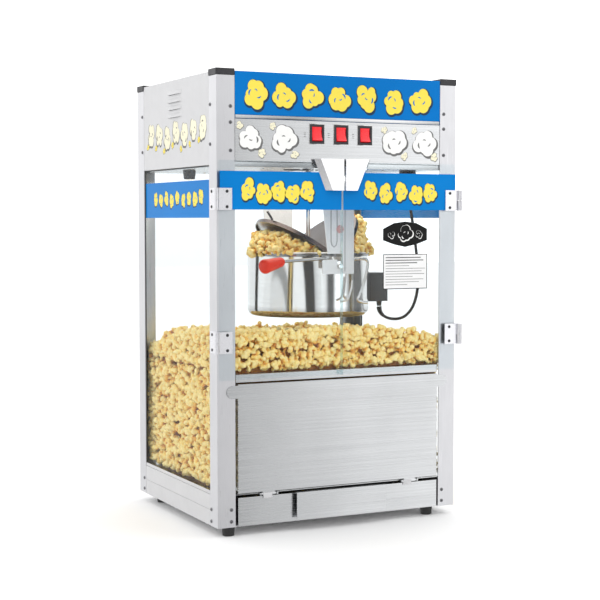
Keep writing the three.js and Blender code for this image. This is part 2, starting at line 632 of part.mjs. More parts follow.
function popcornHeaps() {
  const low = DECK[1] + GAP;
  const skin = 10;
  const inset = 8.5;
  const area = { x0: inset, x1: WIDTH - inset, y0: 4, y1: 410.5 };
  const grid = (margin) => (u, v) => [
    area.x0 + margin + u * (area.x1 - area.x0 - 2 * margin),
    area.y0 + margin + v * (area.y1 - area.y0 - 2 * margin),
  ];
  const outside = heightSolid(22, 18, grid(0), heapTop, low);
  const step = box(-10, WIDTH + 10, -10, 33, 0, SILL[1] + 1);
  const corner = box(-1, POST_LEG + 4, -1, 6, 0, 500);
  const inside = heightSolid(12, 10, grid(skin), (x, y) => heapTop(x, y) - skin - 6, low - 5);
  const insideStep = box(-10, WIDTH + 10, -10, 43, 0, 500);
  add("popcorn_heap", cut(
    cut(outside, step, corner, toRight(corner)), cut(inside, insideStep),
  ), popcorn);

  // The batch in the kettle bulges out under both raised lids.
  const discPlace = (radius) => (u, v) => {
    const [a, b] = [2 * u - 1, 2 * v - 1];
    return [
      KETTLE_X + radius * a * Math.sqrt(1 - (b * b) / 2),
      KETTLE_Y + radius * b * Math.sqrt(1 - (a * a) / 2),
    ];
  };
  const batchTop = (x, y) => {
    const across = x - KETTLE_X;
    const out = Math.abs(across);
    const slope = Math.tan(degrees(across < 0 ? LID_RAISED.left : LID_RAISED.right));
    const lidPlane = LID_HINGE.z + (out - LID_HINGE.out) * slope - 12;
    const radius = Math.hypot(across, y - KETTLE_Y) / KETTLE_R;
    const dome = 500 + 78 * Math.sqrt(Math.max(0, 1 - radius ** 2));
    const burst = 56 * Math.exp(-(((across - 104) / 32) ** 2) - ((y - KETTLE_Y) / 62) ** 2);
    return Math.max(494, Math.min(lidPlane, dome + burst));
  };
  const batch = heightSolid(16, 16, discPlace(KETTLE_R - 3.2), batchTop, 432);
  const hollow = heightSolid(10, 10, discPlace(KETTLE_R - 12), (x, y) => batchTop(x, y) - 14, 425);
  const shaftWay = bar([KETTLE_X, KETTLE_Y, 420], [KETTLE_X, KETTLE_Y, 640], 10);
  add("popcorn_batch", cut(batch, hollow, shaftWay), popcorn);
}

posts();
base();
header();
glazing();
doors();
binPanel();
kernelDrawer();
kettle();
drive();
wiring();
popcornHeaps();

export default machine;
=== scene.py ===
"""Looks of the countertop popcorn machine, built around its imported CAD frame.

Shapes are drawn in millimetres from the left front post's outer lower corner: x to the right,
y from the posts' front face to the back, z up from the posts' lower ends. They end up in the
row frame, in metres.
"""

import json
import math
import random
from types import SimpleNamespace

import bmesh
import bpy
import numpy as np
from mathutils import Matrix, Vector

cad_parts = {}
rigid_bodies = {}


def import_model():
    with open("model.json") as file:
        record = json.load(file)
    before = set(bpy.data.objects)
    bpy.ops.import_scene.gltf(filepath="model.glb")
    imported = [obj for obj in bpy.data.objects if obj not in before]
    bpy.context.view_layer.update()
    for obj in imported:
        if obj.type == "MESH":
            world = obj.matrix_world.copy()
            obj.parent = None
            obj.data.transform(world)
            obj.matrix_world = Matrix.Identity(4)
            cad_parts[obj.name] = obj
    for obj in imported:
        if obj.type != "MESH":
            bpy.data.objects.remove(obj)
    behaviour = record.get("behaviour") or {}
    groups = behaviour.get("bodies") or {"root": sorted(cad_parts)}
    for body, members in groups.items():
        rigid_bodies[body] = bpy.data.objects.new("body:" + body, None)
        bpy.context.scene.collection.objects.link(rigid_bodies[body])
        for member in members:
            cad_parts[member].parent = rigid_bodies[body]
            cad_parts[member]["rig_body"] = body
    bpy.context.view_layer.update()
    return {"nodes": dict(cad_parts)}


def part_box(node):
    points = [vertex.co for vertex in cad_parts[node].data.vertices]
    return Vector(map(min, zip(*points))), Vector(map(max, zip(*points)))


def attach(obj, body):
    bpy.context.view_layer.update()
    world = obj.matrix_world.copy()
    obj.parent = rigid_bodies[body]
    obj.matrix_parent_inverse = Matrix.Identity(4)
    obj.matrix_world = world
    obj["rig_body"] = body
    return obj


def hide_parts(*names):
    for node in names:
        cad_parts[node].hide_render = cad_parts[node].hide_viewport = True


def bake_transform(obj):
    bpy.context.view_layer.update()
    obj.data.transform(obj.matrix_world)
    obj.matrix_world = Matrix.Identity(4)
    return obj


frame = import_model()
NODES = frame["nodes"]

MM = 0.001
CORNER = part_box("post_front_left")[0]
TO_FRAME = Matrix.Translation(CORNER) @ Matrix.Scale(MM, 4)
WIDTH = (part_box("post_front_right")[1].x - CORNER.x) / MM
DEPTH = (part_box("post_rear_left")[1].y - CORNER.y) / MM
MID = WIDTH / 2
POST = 37  # the width of a post's flange


def at(x, y, z):
    """A point in the row frame from millimetres in the machine's own frame."""
    return TO_FRAME @ Vector((x, y, z))


def edges(node):
    """A CAD node's box in millimetres in the machine's own frame: low and high corners."""
    low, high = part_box(node)
    return (low - CORNER) / MM, (high - CORNER) / MM


def centre_xy(node):
    low, high = edges(node)
    return (low.x + high.x) / 2, (low.y + high.y) / 2


def add_object(name, data):
    made = bpy.data.objects.new(name, data)
    bpy.context.scene.collection.objects.link(made)
    return made


# ---------------- camera
def make_camera():
    data = bpy.data.cameras.new("camera")
    data.lens = 84.66
    data.sensor_width = 36
    data.shift_x = 0.0018
    data.shift_y = 0.008
    camera = add_object("camera", data)
    camera.location = at(-994, -2362, 566)
    camera.rotation_euler = (math.radians(90 - 3.44), 0, math.radians(-26.15))
    bpy.context.scene.camera = camera


# ---------------- materials
def title(keyword):
    """A socket's name from the keyword that stands for it."""
    return keyword.replace("_", " ").title().replace("Ior", "IOR")


class Tree:
    """A node tree, and short ways to add nodes to it."""

    def __init__(self, tree):
        self.tree = tree

    def add(self, kind, **inputs):
        node = self.tree.nodes.new(f"ShaderNode{kind}")
        for socket, value in inputs.items():
            self.put(node.inputs[title(socket)], value)
        return node

    def put(self, socket, value):
        """Links an output to a socket, or sets a plain value on it."""
        if isinstance(value, bpy.types.NodeSocket):
            self.tree.links.new(value, socket)
        else:
            socket.default_value = value

    def combine(self, operation, first, second):
        node = self.add("Math")
        node.operation = operation
        self.put(node.inputs[0], first)
        self.put(node.inputs[1], second)
        return node.outputs[0]

    def spread(self, value, low, high, start=0.3, end=0.7, curve="LINEAR"):
        """Maps start to end, which is the middle of a noise if not given, to low to high."""
        node = self.add("MapRange", value=value, from_min=start, from_max=end,
                        to_min=low, to_max=high)
        node.interpolation_type = curve
        return node.outputs["Result"]

    def ramp(self, value, stops):
        """A colour that follows a value; stops lists (position, colour)."""
        node = self.add("ValToRGB", fac=value)
        elements = node.color_ramp.elements
        while len(elements) < len(stops):
            elements.new(0.5)
        for element, (position, color) in zip(elements, stops):
            element.position = position
            element.color = (*color, 1)
        return node.outputs["Color"]


class Nodes(Tree):
    """A material with a principled shader."""

    def __init__(self, name, color, roughness, slot=None, **sockets):
        self.material = bpy.data.materials.new(name)
        self.material["slot"] = name if slot is None else slot
        self.material.use_nodes = True
        super().__init__(self.material.node_tree)
        self.shader = self.tree.nodes["Principled BSDF"]
        self.color = color
        sockets |= {"base_color": (*color, 1), "roughness": roughness}
        for socket, value in sockets.items():
            self.shader.inputs[title(socket)].default_value = value
        self.place = self.add("TexCoord").outputs["Object"]

    def noise(self, scale, stretch=(1, 1, 1), detail=3.0):
        """Noise from 0 to 1 about 0.5, with a scale in features per metre along each axis."""
        mapping = self.add("Mapping", vector=self.place)
        mapping.inputs["Scale"].default_value = [scale * s for s in stretch]
        noise = self.add("TexNoise", vector=mapping.outputs[0], scale=1.0, detail=detail)
        return noise.outputs["Fac"]

    def blend(self, amount, first, second, mode="MIX"):
        """Mixes two colours, which are outputs or plain tuples."""
        node = self.add("Mix")
        node.data_type = "RGBA"
        node.blend_type = mode
        self.put(node.inputs[0], amount)
        for socket, color in ((node.inputs[6], first), (node.inputs[7], second)):
            self.put(socket, (*color, 1) if isinstance(color, tuple) else color)
        return node.outputs[2]

    def tint(self, value, swing):
        """The base colour, lighter and darker by a share as value goes from 0.3 to 0.7."""
        dark = tuple(c * (1 - swing) for c in self.color)
        light = tuple(min(1, c * (1 + swing)) for c in self.color)
        return self.blend(self.spread(value, 0, 1), dark, light)

    def bump(self, height, depth, strength=1.0):
        node = self.add("Bump", height=height, distance=depth, strength=strength)
        self.put(self.shader.inputs["Normal"], node.outputs["Normal"])

    def set(self, socket, value):
        self.put(self.shader.inputs[socket], value)


def coated(name, color, roughness, texture=900, depth=0.00003, **sockets):
    """Paint or moulded plastic: a fine skin, slow changes of shade and uneven gloss."""
    m = Nodes(name, color, roughness, **sockets)
    m.set("Base Color", m.tint(m.noise(22, detail=5), 0.018))
    m.set("Roughness", m.spread(m.noise(60), roughness - 0.06, roughness + 0.08))
    m.bump(m.noise(texture), depth)
    return m.material


def brushed(name, color, roughness, stretch, swing=0.07, **sockets):
    """Metal with a grain along the axis whose stretch is small, and faint clouds in its shade."""
    m = Nodes(name, color, roughness, metallic=1.0, **sockets)
    grain = m.noise(2600, stretch, detail=2)
    streaks = m.tint(grain, swing)
    clouds = m.spread(m.noise(7), 0.95, 1.05)
    m.set("Base Color", m.blend(1.0, streaks, clouds, "MULTIPLY"))
    m.set("Roughness", m.spread(m.noise(900, stretch), roughness - 0.07, roughness + 0.07))
    m.bump(grain, 0.000004)
    return m.material


def glass_sheet(name, color, least_sheen):
    """Clear glass as a thin sheet: what is behind it shows, with a mirror sheen on top."""
    m = Nodes(name, color, 0.02, "clear_glass")
    clear = m.add("BsdfTransparent", color=(*color, 1))
    gloss = m.add("BsdfGlossy", color=(1, 1, 1, 1))
    m.put(gloss.inputs["Roughness"], m.spread(m.noise(25), 0.01, 0.05))
    facing = m.add("LayerWeight", blend=0.5)
    steep = m.combine("POWER", facing.outputs["Facing"], 5)
    sheen = m.spread(steep, least_sheen, least_sheen + 0.25, 0, 1)
    mix = m.add("MixShader")
    for socket, output in zip(mix.inputs, (sheen, clear.outputs[0], gloss.outputs[0])):
        m.put(socket, output)
    m.put(m.tree.nodes["Material Output"].inputs["Surface"], mix.outputs[0])
    return m.material


def popped():
    """Popcorn: cream tips, buttery sides and dark creases, from each point's value of toast and painted
    shade.
    """
    m = Nodes("popcorn", (0.93, 0.62, 0.20), 0.5, subsurface_weight=0.05)
    m.shader.inputs["Subsurface Radius"].default_value = (0.003, 0.0015, 0.0005)
    toast_and_shade = m.add("Attribute")
    toast_and_shade.attribute_name = "toast_and_shade"
    mottled = m.combine("ADD", toast_and_shade.outputs["Fac"], m.spread(m.noise(330, detail=5), -0.12, 0.12))
    # The darker stops stand for toasted hull and, deep in creases, for painted shade.
    m.set("Base Color", m.ramp(mottled, (
        (0.0, (1.0, 0.81, 0.35)), (0.3, (0.97, 0.66, 0.165)), (0.55, (0.84, 0.41, 0.06)),
        (0.8, (0.52, 0.18, 0.018)), (1.0, (0.12, 0.03, 0.006)))))
    m.set("Roughness", m.spread(m.noise(120), 0.4, 0.62))
    m.bump(m.noise(520, detail=5), 0.0012)
    return m.material


def printed(name, color, slot, swing=0.05):
    """Printed film: even ink, a slow change of shade and a slightly rippled gloss."""
    m = Nodes(name, color, 0.32, slot, specular_ior_level=0.08)
    m.set("Base Color", m.tint(m.noise(3.5, detail=1), swing))
    m.bump(m.noise(90), 0.00002)
    return m.material


def glowing(name, color, glow, strength, roughness=0.25):
    """Red rocker plastic with a faint glow that is painted light, and frosted lamp glass that lets the
    lamp's light through.
    """
    m = Nodes(name, color, roughness, emission_strength=strength)
    m.shader.inputs["Emission Color"].default_value = (*glow, 1)
    m.set("Base Color", m.tint(m.noise(120), 0.1))
    m.bump(m.noise(400), 0.00002)
    return m.material


def polished_pot():
    """Spun and polished steel: soft bands round the axis, fine turning lines and heat tint."""
    m = Nodes("kettle_steel", (0.84, 0.83, 0.82), 0.08, metallic=1.0)
    lines = m.noise(1500, (0.02, 0.02, 1), detail=2)
    base = m.tint(lines, 0.05)
    split = m.add("SeparateXYZ", vector=m.place)
    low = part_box("kettle_pot")[0]
    floor = m.spread(split.outputs["Z"], 0.85, 0, low.z, low.z + 0.022)
    m.set("Base Color", m.blend(floor, base, (0.16, 0.145, 0.135)))
    m.set("Roughness", m.spread(m.noise(40), 0.05, 0.13))
    m.bump(lines, 0.00001)
    return m.material


def floor_paper():
    m = Nodes("floor", (0.97, 0.97, 0.97), 0.8, slot="")
    m.set("Base Color", m.tint(m.noise(2), 0.01))
    return m.material


# ---------------- shapes
def mesh_of(shape, name):
    """A mesh with a bmesh's content, which is freed."""
    mesh = bpy.data.meshes.new(name)
    shape.to_mesh(mesh)
    shape.free()
    return mesh


def round_edges(shape, radius, steps):
    bmesh.ops.bevel(shape, geom=list(shape.edges), offset=radius, segments=steps, profile=0.5,
                    affect="EDGES", clamp_overlap=True)
    return shape


def rounded_box(low, high, radius=0.5, steps=2):
    shape = bmesh.new()
    bmesh.ops.create_cube(shape, size=1)
    size = Vector(high) - Vector(low)
    middle = (Vector(high) + Vector(low)) / 2
    for v in shape.verts:
        v.co = Vector(a * b for a, b in zip(v.co, size)) + middle
    return round_edges(shape, min(radius, 0.45 * min(size)), steps)


SHARP = 35  # degrees between two faces from which their edge stays sharp
PLANES = {
    "xy": ((1, 0, 0), (0, 1, 0), (0, 0, 1)),
    "xz": ((1, 0, 0), (0, 0, 1), (0, 1, 0)),
    "yz": ((0, 1, 0), (0, 0, 1), (1, 0, 0)),
}


def prism(outline, plane, near, far, radius=0.0):
    """A solid from an outline drawn in a plane, from near to far along the third axis."""
    u, v, w = (Vector(axis) for axis in PLANES[plane])
    shape = bmesh.new()
    ends = [[shape.verts.new(u * a + v * b + w * level) for a, b in outline]
            for level in (near, far)]
    shape.faces.new(ends[0])
    shape.faces.new(ends[1])
    for i in range(len(outline)):
        j = (i + 1) % len(outline)
        shape.faces.new((ends[0][i], ends[0][j], ends[1][j], ends[1][i]))
    bmesh.ops.recalc_face_normals(shape, faces=shape.faces)
    return round_edges(shape, radius, 2) if radius else shape


def rings(loops):
    """A closed skin over rings of points that all have the same count."""
    shape = bmesh.new()
    made = [[shape.verts.new(point) for point in loop] for loop in loops]
    for first, second in zip(made, made[1:]):
        for i in range(len(first)):
            j = (i + 1) % len(first)
            shape.faces.new((first[i], first[j], second[j], second[i]))
    shape.faces.new(made[0])
    shape.faces.new(made[-1])
    bmesh.ops.recalc_face_normals(shape, faces=shape.faces)
    return shape


def circle(centre, side, other, radius, count):
    """Points round a centre, in the plane of two directions."""
    return [centre + (side * math.cos(t) + other * math.sin(t)) * radius
            for t in (2 * math.pi * i / count for i in range(count))]


def lathe(profile, start, end, sides=40):
    """A turned solid on the line from start to end; the profile lists (radius, distance)."""
    axis = (Vector(end) - Vector(start)).normalized()
    side = axis.orthogonal().normalized()
    other = axis.cross(side)
    return rings([circle(Vector(start) + axis * distance, side, other, max(radius, 0.01), sides)
                  for radius, distance in profile])


def smooth_line(points, step=4.0):
    """Points about a step apart on the smooth curve through some points."""
    points = [Vector(p) for p in points]
    line = []
    for i in range(len(points) - 1):
        before = points[max(i - 1, 0)]
        start, end = points[i], points[i + 1]
        after = points[min(i + 2, len(points) - 1)]
        count = max(1, round((end - start).length / step))
        for k in range(count):
            t = k / count
            line.append(0.5 * (
                2 * start + (end - before) * t
                + (2 * before - 5 * start + 4 * end - after) * t * t
                + (3 * start - before - 3 * end + after) * t ** 3
            ))
    line.append(points[-1])
    return line


def tube(line, radius, sides=12):
    """A round tube along a line; radius is a number or a function of the share of the way."""
    loops = []
    side = None
    for i, point in enumerate(line):
        ahead = (line[min(i + 1, len(line) - 1)] - line[max(i - 1, 0)]).normalized()
        side = ahead.orthogonal() if side is None else side - ahead * side.dot(ahead)
        side.normalize()
        other = ahead.cross(side)
        size = radius(i / (len(line) - 1)) if callable(radius) else radius
        loops.append(circle(point, side, other, size, sides))
    return rings(loops)


def dress(mesh, material, smooth=None):
    """Gives a mesh its one material, and smooth shading up to an angle in degrees."""
    mesh.materials.clear()
    mesh.materials.append(material)
    if smooth:
        mesh.shade_smooth()
        mesh.set_sharp_from_angle(angle=math.radians(smooth))


def show(name, mesh, body, node=None):
    """An object that rides on a body, in place of a CAD node if one is given."""
    made = add_object(name, mesh)
    if body:
        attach(made, body)
    if node:
        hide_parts(node)
    return made


def piece(name, shapes, material, body="root", smooth=SHARP, node=None):
    """One object from one or more shapes in the machine's own frame, riding on a body."""
    whole = bmesh.new()
    for shape in shapes if isinstance(shapes, list) else [shapes]:
        part = mesh_of(shape, "part")
        whole.from_mesh(part)
        bpy.data.meshes.remove(part)
    mesh = mesh_of(whole, name)
    mesh.transform(TO_FRAME)
    dress(mesh, material, smooth)
    return show(name, mesh, body, node)


def soften(node, material, width=0.5):
    """Shows a copy of a CAD node with rounded edges in place of the node."""
    mesh = NODES[node].data.copy()
    shape = bmesh.new()
    shape.from_mesh(mesh)
    bmesh.ops.remove_doubles(shape, verts=shape.verts, dist=1e-6)
    bmesh.ops.dissolve_limit(shape, angle_limit=math.radians(0.5), verts=shape.verts,
                             edges=shape.edges)
    shape.to_mesh(mesh)
    shape.free()
    dress(mesh, material, SHARP)
    made = show(f"{node}_shown", mesh, NODES[node]["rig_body"], node)
    bevel = made.modifiers.new("edges", "BEVEL")
    bevel.width = width * MM
    bevel.segments = 2
    bevel.limit_method = "ANGLE"
    bevel.angle_limit = math.radians(SHARP)
    bevel.harden_normals = True
    return made


# ---------------- the kettle's flex
CORD_PATH = [
    (455, 209, 385.6), (456, 208, 377), (459.6, 205, 369.5), (465, 199.5, 364), (471, 191, 361),
    (477, 180.5, 360.5), (482.5, 168.5, 362.5), (487, 156, 368), (490, 144, 377),
    (491.8, 133, 389), (492.6, 124, 404), (492.4, 117, 421), (491.3, 112, 441),
    (489, 109, 464), (485, 107.5, 494), (480, 107, 528), (474.5, 107, 562), (469, 107.3, 593),
    (464.8, 107.8, 618), (463, 108, 634), (463, 108, 643),
]
CORD_RADIUS = 3


def make_cord(rubber):
    line = smooth_line(CORD_PATH)
    cord = piece("kettle_flex", tube(line, CORD_RADIUS, 16), rubber, body=None, node="kettle_cord")
    relief_line = smooth_line(CORD_PATH[:4], 1.0)[:22]
    relief = piece("flex_relief", tube(
        relief_line, lambda t: 5.4 - 1.9 * t + (0.45 if int(t * 21) % 3 == 0 else 0), 20), rubber,
        body=None, smooth=60)
    for made in (cord, relief):
        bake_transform(made)


# ---------------- screws and hinges
DIRECTIONS = {"front": (0, -1, 0), "back": (0, 1, 0), "left": (-1, 0, 0), "right": (1, 0, 0)}


def screw(place, facing, radius=3.4, height=1.6):
    """A pan head with a cross recess drawn as dark bars of painted shade, standing on a surface that
    faces a side.
    """
    out = Vector(DIRECTIONS[facing])
    end = Vector(place) + out
    head = lathe([(0, 0), (radius, 0), (radius, 0.35 * height), (0.82 * radius, 0.8 * height),
                  (0.45 * radius, height), (0, height)], place, end, 24)
    side = out.cross(Vector((0, 0, 1)))
    up = Vector((0, 0, 1))
    marks = []
    # Two dark bars through the head for the cross recess: painted shade.
    for along, across in ((side, up), (up, side)):
        reach = along * 0.55 * radius + across * 0.14 * radius
        low = Vector(place) + out * 0.2 - reach
        high = Vector(place) + out * (height + 0.06) + reach
        corners = [Vector(map(min, low, high)), Vector(map(max, low, high))]
        marks.append(rounded_box(*corners, radius=0.1, steps=1))
    return head, marks


def screws(name, places, metal, dark, body="root", **size):
    """All screws of one group: places lists (x, y, z, facing)."""
    heads, recesses = [], []
    for x, y, z, facing in places:
        head, marks = screw((x, y, z), facing, **size)
        heads.append(head)
        recesses += marks
    piece(name, heads, metal, body)
    piece(f"{name}_recesses", recesses, dark, body)


def cabinet_screws(steel, dark):
    inset = 27.5
    places = []
    for x in (inset, WIDTH - inset):
        for z in (772, 743, 692, 33, 11):
            places += [(x, 0, z, "front"), (x, DEPTH, z, "back")]
    for y in (30, DEPTH - 27):
        for z in (776, 704, 31, 9):
            places += [(0, y, z, "left"), (WIDTH, y, z, "right")]
    screws("cabinet_screws", places, steel, dark)


def hinge_screws(black, dark):
    for side in ("left", "right"):
        face = edges(f"door_glass_{side}")[0].y - 2.1
        door_x, post_x = (17, -2.1) if side == "left" else (WIDTH - 17, WIDTH + 2.1)
        door_places, post_places = [], []
        for level in ("lower", "upper"):
            low, high = edges(f"post_leaf_{level}_{side}")
            middle = (low.z + high.z) / 2
            for z in (middle - 14, middle + 14):
                door_places.append((door_x, face, z, "front"))
                post_places.append((post_x, 19, z, side))
        screws(f"door_hinge_screws_{side}", door_places, black, dark, f"door_{side}",
               radius=2.9, height=1.1)
        screws(f"post_hinge_screws_{side}", post_places, black, dark, radius=2.9, height=1.1)


# ---------------- prints
def around(centre, reach, angle, squeeze):
    """A point at an angle and a reach from a centre, drawn in sideways by squeeze."""
    return centre[0] + reach * math.cos(angle) * squeeze, centre[1] + reach * math.sin(angle)


def puff(centre, size, seed, lobes=6, squeeze=1.0):
    """The outline of a popped kernel: the outside of a ring of overlapping circles."""
    rng = random.Random(seed)
    circles = []
    for i in range(lobes):
        turn = 2 * math.pi * (i + rng.uniform(-0.3, 0.3)) / lobes
        out = rng.uniform(0.38, 0.62)
        circles.append((out * math.cos(turn), out * math.sin(turn), rng.uniform(0.3, 0.5)))
    outline = []
    steps = 72
    for k in range(steps):
        a = 2 * math.pi * k / steps
        reach = 0.42
        for x, y, r in circles:
            near = x * math.cos(a) + y * math.sin(a)
            inside = r * r - (x * x + y * y - near * near)
            if inside > 0:
                reach = max(reach, near + math.sqrt(inside))
        outline.append(around(centre, size * reach, a, squeeze))
    return outline


def crease(centre, size, turn, squeeze):
    """A curved stroke inside a puff."""
    outer, inner = [], []
    steps = 14
    for i in range(steps + 1):
        t = i / steps
        a = turn + 1.5 * (t - 0.5)
        half = 0.075 * math.sin(math.pi * (0.08 + 0.84 * t))
        for radius, line in ((0.36 + half, outer), (0.36 - half, inner)):
            line.append(around(centre, size * radius, a, squeeze))
    return outer + inner[::-1]


class Print:
    """Flat prints on one face: thin layers, each a little further out than the last."""

    LAYER = 0.12

    def __init__(self, name, plane, face, outward, body="root"):
        self.name, self.plane, self.body = name, plane, body
        self.face, self.outward = face, outward
        self.layers = {}

    def add(self, outline, ink, level):
        near = self.face - self.outward * 0.02
        far = self.face + self.outward * self.LAYER * level
        self.layers.setdefault(ink, []).append(
            prism(outline, self.plane, min(near, far), max(near, far)))

    def puff(self, centre, size, seed, inks, squeeze=1.0, lobes=6, level=1):
        outline_ink, body_ink, crease_ink = inks
        turn = random.Random(seed).uniform(0, 6.28)
        shade = 0.07 * size
        self.add(puff((centre[0] + 0.6 * shade, centre[1] - shade), size * 1.08, seed, lobes,
                      squeeze), outline_ink, level)
        self.add(puff(centre, size * 0.97, seed, lobes, squeeze), body_ink, level + 1)
        for k, (side, share) in enumerate(((0.2, 0.8), (-0.24, 0.62), (0.03, 0.5))):
            middle = (centre[0] + side * size * math.cos(turn) * squeeze,
                      centre[1] + side * size * math.sin(turn) + 0.08 * size * (k - 1))
            self.add(crease(middle, size * share, turn + 2.2 * k, squeeze), crease_ink, level + 2)

    def bar(self, left, low, right, high, ink, level=1):
        self.add([(left, low), (right, low), (right, high), (left, high)], ink, level)

    def finish(self, inks):
        for ink, shapes in self.layers.items():
            piece(f"{self.name}_{ink}", shapes, inks[ink], self.body)


# The inks of a puff: its outline, its body and its creases.
CREAM_PUFF = ("grey", "cream", "grey")
YELLOW_PUFF = ("outline", "yellow", "band")
BLACK_PUFF = ("white", "black", "white")

DOOR_BAND = (585, 655)  # the heights between which the blue bands run
SIDE_BAND = (570, 640)


def flanks(left, right):
    """For each side: its name, the x of its node's outer face, and the way that face looks."""
    return ("left", edges(left)[0].x, -1), ("right", edges(right)[1].x, 1)


def header_prints(inks):
    sign = Print("sign_print", "xz", edges("header_sign")[0].y, -1)
    for i, lift in enumerate((3, -2, 2, -1, 3, -3, 1)):
        sign.puff((MID + (i - 3) * 58 - 3, 794 + lift), 28, 11 + i, ("outline", "yellow", "blue"),
                  squeeze=0.93)
    sign.finish(inks)

    panel = Print("panel_print", "xz", edges("control_panel")[0].y, -1)
    for x, seed in ((68, 31), (135, 35), (370, 33), (437, 34)):
        panel.puff((x, 714), 28, seed, ("grey", "white", "grey"), lobes=7)
        panel.puff((x + 22, 688), 9, seed + 9, CREAM_PUFF, lobes=5)
        panel.puff((x - 23, 738), 7.5, seed + 5, CREAM_PUFF, lobes=5)
    for x in (178, 228, 280):
        for z in (720, 723.5, 727):
            panel.bar(x - 2, z, x + 2, z + 1.1, "grey")
    panel.finish(inks)

    for side, face, outward in flanks("header_shell", "header_shell"):
        row = Print(f"side_print_{side}", "yz", face, outward)
        for i, lift in enumerate((8, 2, -4, 4, -6, 1, 5)):
            y, z = 66 + 45.5 * i, 731 + lift
            row.puff((y, z), 25, 51 + i, CREAM_PUFF, squeeze=0.8)
            row.puff((y + 18, z - 24), 7, 61 + i, ("grey", "yellow", "grey"), lobes=5)
        row.finish(inks)


def glass_prints(inks):
    for side, first, last in (("left", 60, 181), ("right", 314, 448)):
        low, high = edges(f"door_glass_{side}")
        door = Print(f"door_print_{side}", "xz", low.y, -1, f"door_{side}")
        door.bar(low.x + 0.6, DOOR_BAND[0], high.x - 0.6, DOOR_BAND[1], "band")
        for i, lift in enumerate((4, -2, 3, -3, 1)):
            door.puff((first + (last - first) * i / 4, 617 + lift), 22,
                      71 + i + 10 * (side == "right"), YELLOW_PUFF,
                      squeeze=0.8, level=2)
        door.finish(inks)

    for side, face, outward in flanks("glass_left", "glass_right"):
        film = Print(f"side_glass_print_{side}", "yz", face, outward)
        film.LAYER = 0.08
        film.bar(POST, SIDE_BAND[0], DEPTH - POST, SIDE_BAND[1], "band")
        for i, lift in enumerate((3, -2, 2, -2, 3, -3, 2, -1, 1)):
            film.puff((80 + 30 * i, 606 + lift), 16, 91 + i, YELLOW_PUFF,
                      squeeze=0.8, level=2)
        film.finish(inks)

    badge = Print("door_label", "xz", edges("door_glass_right")[0].y, -1, "door_right")
    badge_top = [(342, 549), (366, 560), (391, 563), (416, 560), (440, 549)]
    badge_low = [(440, 527), (416, 519), (391, 514), (366, 519), (342, 527)]
    badge.add(badge_top + badge_low, "black", 1)
    badge.puff((391, 539), 17, 5, BLACK_PUFF, level=2)
    for x in (360, 422):
        badge.puff((x, 538), 8, int(x), BLACK_PUFF, lobes=5, level=2)
    left, low, right, high, border = 342.5, 433, 440.5, 500.5, 1.4
    badge.bar(left, low, right, low + border, "black", 2)
    badge.bar(left, high - border, right, high, "black", 2)
    badge.bar(left, low, left + border, high, "black", 2)
    badge.bar(right - border, low, right, high, "black", 2)
    badge.bar(left, low, right, high, "label")
    for row, reach in enumerate((78, 84, 70, 52, 88, 80, 86, 60, 84, 74, 48)):
        z = 493 - 5.2 * row
        thick, ink = (1.5, "black") if row < 3 else (0.9, "grey")
        badge.bar(348, z, 348 + reach, z + thick, ink, 2)
    badge.finish(inks)


# ---------------- cabinet details
def louvre(y0, y1, z, face, outward):
    """A pressed hood over a slot: flush above, standing out and open below."""
    rows, columns = 6, 20
    reach, height, wall = 3.2, 8.5, 0.7
    outer, inner = [], []
    for i in range(columns + 1):
        u = i / columns
        y = y0 - 2 + (y1 - y0 + 4) * u
        swell = min(1.0, 4.2 * min(u, 1 - u)) ** 0.6
        for line, less in ((outer, 0.0), (inner, wall)):
            column = []
            for j in range(rows + 1):
                v = j / rows
                out = (reach * swell - less) * math.sin(0.5 * math.pi * v) if swell else 0
                column.append(Vector((face + outward * max(out, 0.05 if less else 0.12),
                                      y, z + 6.5 - height * v)))
            line.append(column)
    loops = [a + b[::-1] for a, b in zip(outer, inner)]
    return rings(loops)


def louvres(white, dark):
    for side, face, outward in flanks("header_shell", "header_shell"):
        piece(f"louvres_{side}", [louvre(174, 242, z, face, outward)
                                  for z in (766, 781, 795, 810)], white, smooth=50)
        # A dark sheet inside the header behind the slots: painted shade.
        near, far = sorted((face - outward * 4.2, face - outward * 5.2))
        piece(f"louvre_shade_{side}", rounded_box((near, 168, 758), (far, 248, 818), 0.3), dark)


def cabinet_trim(steel, white, dark, glass_edge):
    piece("header_trim", rounded_box((POST, 0.2, 751), (WIDTH - POST, 2.1, 757.3), 0.8), steel)
    ceiling = edges("ceiling_panel")[0].z
    piece("ceiling_lip", rounded_box((8, 2.6, ceiling), (WIDTH - 8, 4.4, 672.6), 0.5), steel)
    for side, low, high in (("left", 0.35, 2.15), ("right", WIDTH - 2.15, WIDTH - 0.35)):
        piece(f"glass_channel_{side}",
              rounded_box((low, POST, 58.5), (high, DEPTH - POST, 65), 0.6), white)
        piece(f"glass_gasket_{side}", rounded_box(
            (low + 0.2, DEPTH - 41, 66), (high - 0.2, DEPTH - 36.5, 665), 0.5), dark)
    piece("rear_channel",
          rounded_box((POST, DEPTH - 2.2, 58.5), (WIDTH - POST, DEPTH - 0.4, 65), 0.6), white)
    for side in ("left", "right"):
        low, high = edges(f"door_glass_{side}")
        inner = high.x if side == "left" else low.x
        inward = -1 if side == "left" else 1
        near, far = sorted((inner - 0.1 * inward, inner + 0.6 * inward))
        strip = rounded_box((near, low.y - 0.1, low.z), (far, high.y + 0.1, DOOR_BAND[0] - 1), 0.3)
        piece(f"door_edge_{side}", strip, glass_edge, f"door_{side}")


def drawer_details(white):
    """The two bright spring clips above the drawer front."""
    tongue = [(-2.2, 60), (-1.9, 55), (-2.6, 50), (-3.6, 50), (-3.1, 55.2), (-3.4, 60)]
    for name, x in (("left", 100), ("right", WIDTH - 108)):
        piece(f"clip_{name}", prism(tongue, "yz", x - 9, x + 9, 0.25), white, "kernel_drawer")


